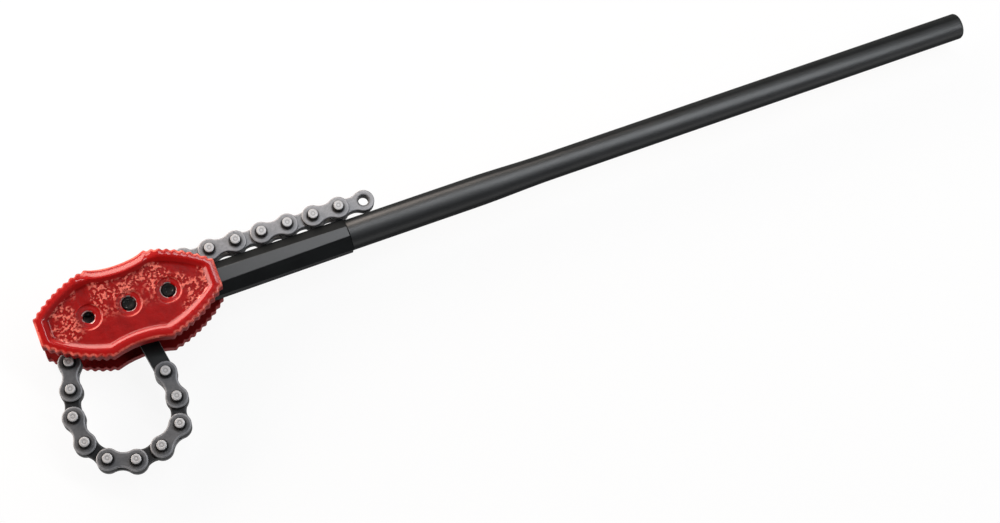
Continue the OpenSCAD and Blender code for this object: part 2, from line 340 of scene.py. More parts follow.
def twin(piece, name):
    """A copy of a piece with its own mesh."""
    take(piece)
    bpy.ops.object.duplicate(linked=False)
    made = bpy.context.active_object
    made.name = name
    return made


def keep_facing(piece):
    """Keeps the normals of a finished piece as an attribute that its finish reads."""
    normals = [0.0] * (3 * len(piece.data.loops))
    piece.data.corner_normals.foreach_get("vector", normals)
    facing = piece.data.attributes.new(FACING, "FLOAT_VECTOR", "CORNER")
    facing.data.foreach_set("vector", normals)


def keep_wear_and_light(piece, wear_and_light):
    """Keeps the mark at each vertex, wear together with painted highlight and shade, as an attribute that the
    finish reads.
    """
    made = piece.data.attributes.new(WEAR_AND_LIGHT, "FLOAT", "POINT")
    made.data.foreach_set("value", wear_and_light)


def settle(piece, name, body, node, material):
    """Names a finished piece, gives it its finish and puts it on its body in place of its CAD node."""
    keep_facing(piece)
    piece.name = name
    piece.data.name = name
    piece.data.materials.clear()
    piece.data.materials.append(material)
    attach(piece, body)
    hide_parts(node)


# Shader helpers


class Wire:
    """An output socket: arithmetic on it adds Math nodes."""

    def __init__(self, finish, socket):
        self.finish = finish
        self.socket = socket

    def math(self, operation, *values):
        return self.finish.node("ShaderNodeMath", {"operation": operation}, dict(enumerate(values)))

    def __add__(self, other):
        return self.math("ADD", self, other)

    def __radd__(self, other):
        return self.math("ADD", other, self)

    def __sub__(self, other):
        return self.math("SUBTRACT", self, other)

    def __rsub__(self, other):
        return self.math("SUBTRACT", other, self)

    def __mul__(self, other):
        return self.math("MULTIPLY", self, other)

    def __rmul__(self, other):
        return self.math("MULTIPLY", other, self)

    def __abs__(self):
        return self.math("ABSOLUTE", self)

    def lesser(self, other):
        return self.math("MINIMUM", self, other)

    def greater(self, other):
        return self.math("MAXIMUM", self, other)

    def step(self, low, high):
        """A smooth step from 0 at low to 1 at high, which may be the lesser."""
        return self.finish.node(
            "ShaderNodeMapRange", {"interpolation_type": "SMOOTHSTEP"},
            {"Value": self, "From Min": low, "From Max": high},
        )

    def other(self, output):
        """Another output of the same node."""
        return Wire(self.finish, self.socket.node.outputs[output])


class Finish:
    """The nodes of a material or a world."""

    def __init__(self, owner):
        owner.use_nodes = True
        self.owner = owner
        self.tree = owner.node_tree
        self.tree.nodes.clear()

    def node(self, kind, settings=None, sockets=None, output=0):
        """Adds a node: its settings first, then the values or wires of its sockets."""
        made = self.tree.nodes.new(kind)
        for name, value in (settings or {}).items():
            setattr(made, name, value)
        for key, value in (sockets or {}).items():
            if isinstance(value, Wire):
                self.tree.links.new(value.socket, made.inputs[key])
            else:
                made.inputs[key].default_value = value
        return Wire(self, made.outputs[output]) if made.outputs else None

    def place(self):
        """The place on a piece, in the shared frame at rest."""
        return self.node("ShaderNodeTexCoord", output="Object")

    def axes(self, vector):
        """The three numbers of a vector."""
        x = self.node("ShaderNodeSeparateXYZ", None, {0: vector})
        return x, x.other(1), x.other(2)

    def facing(self):
        """The three numbers of the normal that a finished piece keeps as an attribute."""
        return self.axes(self.node("ShaderNodeAttribute", {"attribute_name": FACING}, output="Vector"))

    def wear_and_light(self):
        """The mark of wear and of painted highlight and shade that a finished piece keeps as an attribute."""
        return self.node("ShaderNodeAttribute", {"attribute_name": WEAR_AND_LIGHT}, output="Fac")

    def noise(self, place, size, detail=2.0, roughness=0.5):
        """Noise whose patches are about one size across, in metres."""
        return self.node(
            "ShaderNodeTexNoise", None,
            {"Vector": place, "Scale": 1 / size, "Detail": detail, "Roughness": roughness},
        )

    def mix(self, factor, first, second):
        """A colour between two colours."""
        return self.node("ShaderNodeMix", {"data_type": "RGBA"}, {0: factor, 6: first, 7: second}, output=2)

    def bump(self, height, depth, below=None):
        """A normal from a height between 0 and 1, over another normal where one is given."""
        sockets = {"Height": height, "Distance": depth}
        if below is not None:
            sockets["Normal"] = below
        return self.node("ShaderNodeBump", None, sockets)

    def shader(self, **sockets):
        """A surface whose socket names are written with underscores."""
        return self.node(
            "ShaderNodeBsdfPrincipled", None,
            {key.replace("_", " "): value for key, value in sockets.items()},
        )

    def blend(self, factor, first, second):
        """A surface between two surfaces."""
        return self.node("ShaderNodeMixShader", None, {0: factor, 1: first, 2: second})

    def done(self, shader):
        """The material with its finished surface."""
        self.node("ShaderNodeOutputMaterial", None, {"Surface": shader})
        return self.owner


def opaque(rgb, level=1.0):
    """A colour times a level, with full alpha."""
    return (rgb[0] * level, rgb[1] * level, rgb[2] * level, 1)


def new_finish(name):
    """The empty finish of a new material."""
    return Finish(bpy.data.materials.new(name))


# Finishes


def outside_holes(paint, along, across, size):
    """How far a place on a jaw lies outside the nearest hole."""
    flat = paint.node("ShaderNodeCombineXYZ", None, {0: along, 1: across})
    reach = []
    for step, radius in ((0, size.bolt_hole), (1, size.bolt_hole), (-1, size.spare_hole)):
        sockets = {0: flat, 1: (step * HOLE_PITCH, 0, 0)}
        from_axis = paint.node("ShaderNodeVectorMath", {"operation": "DISTANCE"}, sockets, output="Value")
        reach.append(from_axis - radius)
    return reach[0].lesser(reach[1]).lesser(reach[2])


def glint_dabs(paint, place, along, across):
    """Patches of dabs on the upper part and the ends of a jaw's panel, which take the pale enamel as painted
    glints.
    """
    upper = across.step(-12 * MM, 8 * MM)
    ends = abs(along).step(40 * MM, 52 * MM)
    patches = paint.noise(place, 20 * MM, 2).step(0.4, 0.54)
    dabs = paint.noise(place, 2.8 * MM, 1).step(0.45, 0.62)
    return upper.greater(ends) * patches * dabs


def rubbed_and_highlit_edges(paint, place, along, across):
    """Share of a jaw's edges painted in the pale enamel, partly as wear and partly as painted highlight: in
    stretches, and least at the upper left, where the edges are kept dark as painted shade.
    """
    wear_and_light = paint.wear_and_light().step(0.4, 0.75) * paint.noise(place, 2 * MM, 2).step(0.25, 0.5)
    stretches = paint.noise(place, 16 * MM, 2).step(0.35, 0.55)
    # Painted shade: the pale edges are cut to a quarter at the upper left
    upper_left = along.step(-22 * MM, -40 * MM) * across.step(4 * MM, 14 * MM)
    return wear_and_light * (0.35 + stretches * 0.65) * (1 - upper_left * 0.75) * 0.8


def jaw_enamel(size):
    """Red enamel on a forged skin: dabs painted pale as glints, edges painted pale partly as wear and partly as
    highlight, the rim painted lighter than the sunk panel, bare steel around the holes, the holes and the inner
    sides painted darker as shade, dull walls.
    """
    paint = new_finish("jaw_enamel")
    place = paint.place()
    x, y, z = paint.axes(place)
    along, across, height = x - CENTRE.x, y - CENTRE.y, z - CENTRE.z
    facing_x, _, facing_z = paint.facing()

    # The holes, painted near black inside as shade, and the bare chamfer around them
    hole = outside_holes(paint, along, across, size)
    front = height.step(SLOT_HALF + 8 * MM, SLOT_HALF + 8.5 * MM)
    chips = paint.noise(place, 6 * MM, 2).step(0.42, 0.56)
    ring = hole.step(size.bare_ring, size.bare_ring - 0.3 * MM) * front * chips
    inside = hole.step(0.3 * MM, 0.1 * MM)
    bare = ring * (1 - inside)
    turned_right = facing_x.step(0.03, 0.1) * hole.step(9 * MM, 8 * MM)

    # The sunk panel, inside the spot faces' lip that is painted pale as highlight, and its dabs painted pale as
    # glints
    # The spot faces' lip, marked on its deep side for the pale enamel as painted highlight
    highlit_lip = paint.wear_and_light() * hole.step(8 * MM, 10 * MM)
    from_panel = abs(abs(height) - (RIM_HEIGHT - size.panel_depth))
    on_panel = from_panel.step(1.6 * MM, 0.8 * MM) * highlit_lip.step(0.04, 0.0)
    speckle = on_panel * glint_dabs(paint, place, along, across)
    grain = paint.noise(place, 1.5 * MM, 3, 0.6)
    skin = paint.noise(place, 7 * MM, 2)
    fine = paint.bump(grain, 0.1 * MM)
    wavy = paint.bump(skin, 0.3 * MM, fine)
    normal = paint.bump(speckle, 0.6 * MM, wavy)

    tone = paint.noise(place, 14 * MM, 4, 0.6)
    enamel = paint.mix(tone.step(0.3, 0.7), opaque(size.enamel, 0.85), opaque(size.enamel, 1.12))
    # Painted light: off the sunk panel, the rim, its slopes and the teeth take the enamel 1.35 times lighter than
    # the panel
    enamel = paint.mix(on_panel, opaque(size.enamel, 1.35), enamel)
    # Painted highlight: the dabs take the pale enamel as glints on the pebbled skin
    enamel = paint.mix(speckle * 0.8, enamel, opaque(size.rubbed_and_highlit))
    edge = rubbed_and_highlit_edges(paint, place, along, across)
    enamel = paint.mix(edge, enamel, opaque(size.rubbed_and_highlit))
    # Painted shade: near black inside the holes
    coated = paint.mix(inside, enamel, opaque(size.steel, 0.03))
    # Bare steel doesn't shine like paint, and the plain panel and the spot faces' lip, painted pale as highlight,
    # shine less
    gloss = (1 - bare) * (1 - turned_right) * (1 - on_panel * (1 - speckle) * 0.4)
    gloss = gloss * (0.65 - highlit_lip.step(0.1, 0.5) * 0.45)
    glossy = paint.shader(
        Base_Color=paint.mix(bare, coated, opaque(size.steel)),
        Metallic=bare * 0.8,
        Roughness=0.34 + tone * 0.12,
        Specular_IOR_Level=0.15,
        Coat_Weight=gloss,
        Coat_Roughness=0.1,
        Normal=normal,
    )

    # The walls, and the sides that face each other across the slot, which are painted darker as shade
    inward = (facing_z * height).step(0.0, -0.2 * RIM_HEIGHT)
    wall = paint.mix(tone.step(0.35, 0.65), opaque(size.enamel, 0.8), opaque(size.enamel, 1.1))
    # Painted shade: the inward sides take the enamel at 0.6
    wall = paint.mix(inward, wall, opaque(size.enamel, 0.6))
    wall = paint.mix(edge, wall, opaque(size.rubbed_and_highlit))
    dull = paint.shader(
        Base_Color=paint.mix(inside, wall, opaque(size.steel, 0.03)),
        Roughness=0.62,
        Specular_IOR_Level=0.12,
        Normal=wavy,
    )
    upright = abs(facing_z).step(0.62, 0.3)
    steep = highlit_lip.step(0.1, 0.35) * abs(facing_z).step(0.86, 0.72)
    return paint.done(paint.blend(upright.greater(inward).greater(steep), glossy, dull))


def satin_black(name, shade, roughness, sheen, sides, worn_and_highlit=0):
    """Satin black paint with faint streaks and edges painted grey, partly as wear and partly as painted highlight,
    duller between two facings of its sides.
    """
    paint = new_finish(name)
    place = paint.place()
    along = paint.node("ShaderNodeMapping", None, {"Vector": place, "Scale": (0.08, 1, 1)})
    streaks = paint.noise(along, 2.2 * MM, 3, 0.6)
    clouds = paint.noise(place, 22 * MM, 3)
    grain = paint.noise(place, 0.9 * MM, 2)
    base = paint.mix(clouds.step(0.3, 0.7), opaque(shade, 0.8), opaque(shade, 1.2))
    base = paint.mix(streaks.step(0.55, 0.75) * 0.3, base, opaque(shade, 2.2))
    _, y, z = paint.facing()
    if worn_and_highlit:
        # Edges painted grey, partly as wear and partly as painted highlight
        edge = abs(z).step(0.98, 0.85) * abs(z).step(0.1, 0.4) * worn_and_highlit
        base = paint.mix(edge * (0.4 + clouds), base, (0.45, 0.46, 0.47, 1))
    relief = paint.bump(grain * 0.5 + streaks * 0.5, 0.07 * MM)
    satin = paint.shader(
        Base_Color=base,
        Roughness=roughness + streaks * 0.08 + clouds * 0.06,
        Specular_IOR_Level=sheen,
        Normal=relief,
    )
    dull = paint.shader(Base_Color=base, Roughness=0.75, Specular_IOR_Level=0.12, Normal=relief)
    # Sides turned to the back are dull, the more so towards the bar's free end
    from_seam = paint.axes(place)[0] - SEAM_X
    front = z - y.greater(0) * (0.5 + from_seam * 1.8)
    return paint.done(paint.blend(front.step(*sides), satin, dull))


def black_oxide(shade):
    """Black oxide with specks of bare steel."""
    paint = new_finish("black_oxide")
    place = paint.place()
    grain = paint.noise(place, 1.1 * MM, 3, 0.65)
    specks = paint.noise(place, 1.8 * MM, 1).step(0.66, 0.72)
    base = paint.mix(grain.step(0.35, 0.7), opaque(shade, 0.6), opaque(shade, 2.0))
    return paint.done(paint.shader(
        Base_Color=paint.mix(specks * 0.5, base, (0.3, 0.3, 0.3, 1)),
        Metallic=specks * 0.6,
        Roughness=0.6 - specks * 0.2,
        Specular_IOR_Level=0.15,
        Normal=paint.bump(grain, 0.25 * MM),
    ))


def chain_steel(name, shade, edge_level):
    """Tumbled steel plate: mottled flats, painted shadow around the pins, edges painted lighter as wear and as
    painted highlight, and side walls painted near black as shade.
    """
    paint = new_finish(name)
    place = paint.place()
    side = abs(paint.facing()[2]).step(0.3, 0.1)
    wear_and_light = paint.wear_and_light()
    mottle = paint.noise(place, 3.0 * MM, 4, 0.65)
    grain = paint.noise(place, 0.7 * MM, 2)
    base = paint.mix(mottle.step(0.3, 0.7), opaque(shade, 0.86), opaque(shade, 1.12))
    # Painted shadow: darker around the pins
    base = paint.mix(wear_and_light.step(0.0, -0.9) * 0.7, base, opaque(shade, 0.12))
    # Edges painted lighter, partly as wear and partly as painted highlight
    rubbed_and_highlit = wear_and_light.step(0.05, 0.6) * (0.35 + mottle * 0.7)
    relief = paint.bump(grain * 0.5 + mottle * 0.5, 0.08 * MM)
    steel = paint.shader(
        Base_Color=paint.mix(rubbed_and_highlit, base, opaque(shade, edge_level)),
        Metallic=0.4,
        Roughness=0.4 + mottle * 0.12,
        Normal=relief,
    )
    # Painted shade: the side walls are coloured near black
    shaded_sides = paint.shader(
        Base_Color=opaque(shade, 0.16), Roughness=0.65, Specular_IOR_Level=0.2, Normal=relief,
    )
    return paint.done(paint.blend(side, steel, shaded_sides))


def pin_steel(bright):
    """Pin with bright turned ends, sides painted near black as shade, and a darker turned ring on the ends."""
    paint = new_finish("pin_steel")
    place = paint.place()
    end = abs(paint.facing()[2]).step(0.35, 0.6)
    mottle = paint.noise(place, 1.6 * MM, 3, 0.6)
    cut = paint.mix(mottle.step(0.35, 0.7), opaque(bright, 0.92), opaque(bright, 1.06))
    # Darker in the turned ring on the ends
    cut = paint.mix(paint.wear_and_light().step(0.0, -1.0) * 0.5, cut, opaque(bright, 0.3))
    return paint.done(paint.shader(
        # Painted shade: the sides are coloured near black
        Base_Color=paint.mix(end, opaque(bright, 0.06), cut),
        Metallic=0.25,
        Roughness=0.42,
        Normal=paint.bump(mottle, 0.04 * MM),
    ))


# Pieces


class TONGS_OT_jaws(bpy.types.Operator):
    """Models the two forged jaws with rounded edges and a pebbled sunk panel"""

    bl_idname = "tongs.jaws"
    bl_label = "Jaws"
    # Walls of the outline stand further than this from the centre bolt, along or across the jaw
    wall_along = 66 * MM
    wall_across = 24 * MM
    # Half the length of the waist, and the length over which it turns into the toothed ends
    waist_half = 22 * MM
    waist_fade = 18 * MM
    # Distances from the outline at which the crest's shift grows and fades
    crest_grows = (1.5 * MM, 6 * MM)
    crest_fades = (12 * MM, 18 * MM)
    # Height above the middle plane where a jaw's outer side begins
    outer_side = SLOT_HALF + 6 * MM
    # The way a spot face rises, and how far its step is eased on either side
    spot_tilt = Vector((-0.9, 0.44))
    step_reach = 4 * MM
    # How near a vertex lies to the panel, and how level it is, to take pebbles
    panel_slack = 0.4 * MM
    panel_level = 0.95
    # Distance from the centre bolt at which the panel's rough ends begin, and the pebbles' share elsewhere
    rough_end = 46 * MM
    plain_pebbles = 0.25

    def execute(self, context):
        size = context.scene.tongs_jaws
        enamel = jaw_enamel(size)
        # Each jaw's solid, its name and the way its outer face looks along Z
        jaws = (("jaw_front", "forged_jaw_front", 1), ("jaw_rear", "forged_jaw_rear", -1))
        for node, name, outward in jaws:
            jaw = merged_copy(node, name)
            modify(jaw, "REMESH", mode="VOXEL", voxel_size=size.skin, use_smooth_shade=True)
            modify(jaw, "SMOOTH", factor=0.5, iterations=size.softening)
            self.shape_rim(jaw, size, outward)
            if node == "jaw_front":
                self.tilt_spots(jaw, size)
            self.pebble(jaw, size, outward)
            settle(jaw, name, "tongs", node, enamel)
        return {"FINISHED"}

    def shape_rim(self, jaw, size, outward):
        """Slopes the rim down towards the outline and rounds its edges, most of all at the upper waist."""
        walls = [vertex.co.xy for vertex in jaw.data.vertices if self.on_outline(vertex)]
        near = KDTree(len(walls))
        for index, place in enumerate(walls):
            near.insert((*place, 0), index)
        near.balance()
        self.shift_crest(jaw, size, outward, near)
        draft, rim = {}, {}
        edge = [0.0] * len(jaw.data.vertices)
        # The slope draws the wall down with it as far as this below the rim
        depth = 2 * size.draft_drop
        for vertex in jaw.data.vertices:
            place = vertex.co - CENTRE
            below = RIM_HEIGHT - place.z * outward
            if below > max(depth, size.rounded):
                continue
            toothed = self.at_teeth(place)
            full = 1 - size.toothed * toothed
            level = max(size.plain_draft, 1 - toothed) if place.y > 0 else size.plain_draft
            reach = near.find((*vertex.co.xy, 0))[2]
            steep = max(0, 1 - reach / size.steep_width)
            edge[vertex.index] = steep * max(0, 1 - below / size.steep_width)
            if below < depth:
                shallow = max(0, 1 - reach / size.draft_width)
                share = size.steep_share * steep + (1 - size.steep_share) * shallow
                draft[vertex.index] = share * (1 - below / depth) * level
            if below < size.rounded:
                share = min(1, 2 - 2 * below / size.rounded)
                rim[vertex.index] = share * (full if reach < size.tooth_reach else 1)
        # Marks the rim's outer edges for the pale enamel, partly as wear and partly as painted highlight
        keep_wear_and_light(jaw, edge)
        self.shift(jaw, "draft", draft, -outward * size.draft_drop)
        modify(jaw, "SMOOTH", factor=0.5, iterations=size.rounding, vertex_group=weigh(jaw, "rim", rim))

    def on_outline(self, vertex):
        """Whether a vertex is on a wall of the outline rather than of a hole."""
        place = vertex.co - CENTRE
        outside = abs(place.x) > self.wall_along or abs(place.y) > self.wall_across
        return outside and abs(vertex.normal.z) < 0.3

    def at_teeth(self, place):
        """How far a place belongs to the toothed ends rather than the waist, from 0 to 1."""
        return min(1, max(0, abs(place.x) - self.waist_half) / self.waist_fade)

    def shift_crest(self, jaw, size, outward, near):
        """Moves the crest and the panel's slope at the upper waist towards the holes."""
        crest = {}
        starts, full = self.crest_grows
        fades, ends = self.crest_fades
        for vertex in jaw.data.vertices:
            place = vertex.co - CENTRE
            if place.y > 0 and place.z * outward > self.outer_side:
                reach = near.find((*vertex.co.xy, 0))[2]
                share = max(0, min(1, (reach - starts) / (full - starts), (ends - reach) / (ends - fades)))
                crest[vertex.index] = share * (1 - self.at_teeth(place))
        self.shift(jaw, "crest", crest, -size.crest_shift, "Y")

    def shift(self, jaw, name, weights, distance, axis="Z"):
        """Moves weighted vertices along an axis."""
        group = weigh(jaw, name, weights)
        modify(jaw, "DISPLACE", direction=axis, strength=distance, mid_level=0, vertex_group=group)

    def tilt_spots(self, jaw, size):
        """Tilts the spot faces, deeper on the right, eases the step around them and marks the lip on their deep
        side for the pale enamel as painted highlight.
        """
        left, right, step, lip = {}, {}, {}, {}
        holes = [CENTRE.xy + Vector((k * HOLE_PITCH, 0)) for k in (-1, 0, 1)]
        for vertex in jaw.data.vertices:
            if vertex.co.z - CENTRE.z < self.outer_side:
                continue
            reach = min((vertex.co.xy - hole for hole in holes), key=lambda offset: offset.length)
            share = 0.5 + reach.dot(self.spot_tilt) / (2 * size.spot_edge)
            from_step = abs(reach.length - size.spot_edge)
            if reach.length < size.spot_edge:
                left[vertex.index] = share
                right[vertex.index] = 1 - share
            if from_step < self.step_reach:
                step[vertex.index] = 1.0
            # Painted highlight: the lip is marked most on the deep, lower right side
            if from_step < size.lip_width:
                deep_side = min(1, max(0, 1.6 - 2 * share))
                lip[vertex.index] = (1 - from_step / size.lip_width) * deep_side
        self.shift(jaw, "spot_left", left, size.spot_rise)
        self.shift(jaw, "spot_right", right, -size.spot_sink)
        modify(jaw, "SMOOTH", factor=0.5, iterations=size.easing, vertex_group=weigh(jaw, "spot_step", step))
        worn_and_highlit = jaw.data.attributes[WEAR_AND_LIGHT].data
        for index, wear_and_light in lip.items():
            worn_and_highlit[index].value = wear_and_light

    def pebble(self, jaw, size, outward):
        """Raises the forged skin's pebbles on the upper part and the ends of the sunk panel."""
        panel = CENTRE.z + outward * (RIM_HEIGHT - size.panel_depth)
        weights = {}
        for vertex in jaw.data.vertices:
            place = vertex.co - CENTRE
            near_panel = abs(vertex.co.z - panel) < self.panel_slack
            if near_panel and vertex.normal.z * outward > self.panel_level:
                rough = place.y > 0 or abs(place.x) > self.rough_end
                weights[vertex.index] = 1.0 if rough else self.plain_pebbles
        pebbles = bpy.data.textures.new(f"{jaw.name}_pebbles", "CLOUDS")
        pebbles.noise_scale = size.pebble
        pebbles.noise_depth = 2
        modify(
            jaw, "DISPLACE", texture=pebbles, texture_coords="LOCAL", strength=size.pebble_depth,
            mid_level=0.5, vertex_group=weigh(jaw, "panel", weights),
        )


class TONGS_OT_shank(bpy.types.Operator):
    """Models the forked shank and its eight-sided neck"""

    bl_idname = "tongs.shank"
    bl_label = "Shank"

    def execute(self, context):
        size = context.scene.tongs_handle
        shank = merged_copy("handle_shank", "forged_shank")
        soften_edges(shank, size.neck_edge)
        black = satin_black("neck_black", size.black, roughness=0.34, sheen=0.9, sides=(0.95, 0.65))
        settle(shank, "forged_shank", "tongs", "handle_shank", black)
        return {"FINISHED"}


class TONGS_OT_bar(bpy.types.Operator):
    """Turns the handle bar with its thicker root, taper and rounded end"""

    bl_idname = "tongs.bar"
    bl_label = "Handle bar"
    sides = 96
    taper_steps = 8
    round_steps = 6

    def execute(self, context):
        size = context.scene.tongs_handle
        full = BAR_END_X - SEAM_X
        slim = size.root_radius - size.bar_radius
        rings = [(size.root_radius - size.seam, 0), (size.root_radius, size.seam)]
        for step in range(self.taper_steps + 1):
            share = step / self.taper_steps
            eased = share * share * (3 - 2 * share)
            rings.append((size.root_radius - slim * eased, size.root_length + share * size.taper_length))
        for step in range(self.round_steps + 1):
            angle = step / self.round_steps * math.pi / 2
            inset = size.end_round * (1 - math.cos(angle))
            rings.append((size.bar_radius - inset, full - size.end_round * (1 - math.sin(angle))))
        rings.append((size.bar_radius / 2, full))
        bar = turned("round_bar", rings, self.sides)
        set_in_place(bar, (SEAM_X, CENTRE.y, CENTRE.z), (0, math.pi / 2, 0))
        smooth(bar, 40)
        black = satin_black("bar_black", size.black, roughness=0.36, sheen=0.9, sides=(0.8, 0.3))
        settle(bar, "round_bar", "tongs", "handle_bar", black)
        return {"FINISHED"}


class TONGS_OT_bolts(bpy.types.Operator):
    """Models the two bolts: hexagon heads behind, chamfered and dished tips in front"""

    bl_idname = "tongs.bolts"
    bl_label = "Bolts"
    sides = 64

    def execute(self, context):
        size = context.scene.tongs_bolts
        seat = size.head_thickness - HEAD_HEIGHT
        tip = TIP_HEIGHT
        shaft = turned("shaft", [
            (size.radius, seat - size.chamfer),
            (size.radius, tip - size.chamfer),
            (size.radius - size.chamfer, tip),
            (size.radius * 0.6, tip),
            (size.radius * 0.45, tip - size.dish),
            (size.radius * 0.1, tip - size.dish),
        ], self.sides)
        smooth(shaft, 35)
        head = turned("head", [(size.head_radius, -HEAD_HEIGHT), (size.head_radius, seat)], 6)
        soften_edges(head, size.chamfer)
        bolt = joined([shaft, head])
        set_in_place(bolt, CENTRE)
        oxide = black_oxide(size.oxide)
        bolts = (("chain_bolt", "bolt_centre", 0), ("jaw_bolt", "bolt_handle_side", HOLE_PITCH))
        for node, name, step in bolts:
            made = twin(bolt, name)
            set_in_place(made, (step, 0, 0))
            settle(made, name, "tongs", node, oxide)
        bpy.data.objects.remove(bolt)
        return {"FINISHED"}


class TONGS_OT_anchor(bpy.types.Operator):
    """Models the anchor link between the centre bolt and the chain"""

    bl_idname = "tongs.anchor"
    bl_label = "Anchor link"

    def execute(self, context):
        size = context.scene.tongs_chain
        anchor = merged_copy("anchor_link", "anchor_bar")
        soften_edges(anchor, size.anchor_edge)
        dark = satin_black("anchor_dark", size.anchor, roughness=0.22, sheen=0.5, sides=(0.2, -0.2), worn_and_highlit=0.8)
        settle(anchor, "anchor_bar", "anchor", "anchor_link", dark)
        return {"FINISHED"}


def link_turn(k):
    """Turn of link k about Z."""
    along = PIN_AT[k] - PIN_AT[k - 1]
    return math.atan2(along.y, along.x)


def in_loop(k):
    """Whether link k works around the pipe rather than hanging loose."""
    return PIN_AT[k - 1].y + PIN_AT[k].y < 2 * CENTRE.y


class TONGS_OT_plates(bpy.types.Operator):
    """Models one outer and one inner pair of plates and copies them along the chain"""

    bl_idname = "tongs.plates"
    bl_label = "Chain plates"
    lobe_steps = 34
    hollow_steps = 10
    hole_steps = 40
    # Over 1, so that the painted shadow is full before it meets the pin
    pin_shadow_strength = 1.4

    def execute(self, context):
        size = context.scene.tongs_chain
        # Painted shade in the loop and painted light on the loose end, on the same steel
        loop_shade = chain_steel("loop_plate_shaded", size.loop_shade, edge_level=2.6)
        # Painted shade: the inner plates in the loop, under the outer ones, take the loop's steel at 0.14
        inner_shaded = chain_steel("inner_plate_shaded", opaque(size.loop_shade, 0.14), edge_level=3.2)
        clean = chain_steel("tail_plate_lit", size.clean, edge_level=1.35)
        outer = self.plate_pair(size, size.outer_base, size.outer_thickness, size.held_hole)
        inner = self.plate_pair(size, size.inner_base, size.inner_thickness, size.running_hole)
        for k in range(1, LINK_COUNT + 1):
            i = (k + 1) // 2
            pattern, kind = (outer, "outer") if k % 2 else (inner, "inner")
            name = f"{kind}_pair_{i:02d}"
            pair = twin(pattern, name)
            set_in_place(pair, PIN_AT[k - 1], (0, 0, link_turn(k)))
            # The loop takes the shaded copies, the loose end the lit one
            loop_steel = loop_shade if kind == "outer" else inner_shaded
            steel = loop_steel if in_loop(k) else clean
            settle(pair, name, f"link_{k:02d}", f"{kind}_plates_{i:02d}", steel)
        bpy.data.objects.remove(outer)
        bpy.data.objects.remove(inner)
        return {"FINISHED"}

    def outline(self, size):
        """Points of a plate's figure-eight outline around two pins on the X axis."""
        half = LINK_PITCH / 2
        # The hollow of the waist is an arc that runs smoothly into both lobes
        hollow = (half**2 + size.waist**2 - size.lobe**2) / (2 * (size.lobe - size.waist))
        meet = math.atan2(size.waist + hollow, half)
        points = []
        for step in range(self.lobe_steps):
            angle = meet + (2 * math.pi - 2 * meet) * step / (self.lobe_steps - 1)
            points.append((size.lobe * math.cos(angle), size.lobe * math.sin(angle)))
        opening = math.pi / 2 - meet
        for step in range(1, self.hollow_steps):
            angle = math.pi / 2 + opening - 2 * opening * step / self.hollow_steps
            points.append((half + hollow * math.cos(angle), -size.waist - hollow + hollow * math.sin(angle)))
        return points + [(LINK_PITCH - x, -y) for x, y in points]

    def wear_and_light(self, place, outline, size):
        """Painted shadow around the pins, and steel painted lighter along the outline, partly as wear and partly
        as painted highlight.
        """
        from_pin = min(math.dist(place, pin) for pin in ((0, 0), (LINK_PITCH, 0)))
        from_edge = min(math.dist(place, point) for point in outline)
        pin_shadow = (size.pin_shadow_ring - from_pin) / (size.pin_shadow_ring - size.pin)
        rubbed_and_highlit = 1 - from_edge / size.rubbed_and_highlit_edge
        return max(0, min(1, rubbed_and_highlit)) - max(0, min(1, pin_shadow * self.pin_shadow_strength))

    def plate_pair(self, size, base, thickness, hole):
        """Two plates on either side of the middle plane."""
        outline = self.outline(size)
        bpy.ops.object.select_all(action="DESELECT")
        bpy.ops.mesh.primitive_circle_add(vertices=len(outline), radius=size.lobe)
        plate = bpy.context.active_object
        for vertex, (x, y) in zip(plate.data.vertices, outline):
            vertex.co = (x, y, base)
        with Editing(plate):
            for x in (0, LINK_PITCH):
                bpy.ops.mesh.primitive_circle_add(
                    vertices=self.hole_steps, radius=hole, location=(x, 0, base),
                )
            bpy.ops.mesh.select_all(action="SELECT")
            bpy.ops.mesh.fill()
            bpy.ops.mesh.select_all(action="SELECT")
            bpy.ops.mesh.normals_make_consistent(inside=False)
            bpy.ops.mesh.inset(thickness=size.plate_inset)
        if plate.data.polygons[0].normal.z < 0:
            plate.data.flip_normals()
        modify(plate, "SOLIDIFY", thickness=thickness, offset=1)
        soften_edges(plate, size.plate_edge)
        keep_wear_and_light(plate, [self.wear_and_light(vertex.co.xy, outline, size) for vertex in plate.data.vertices])
        modify(plate, "MIRROR", use_axis=(False, False, True), use_mirror_merge=False)
        return plate


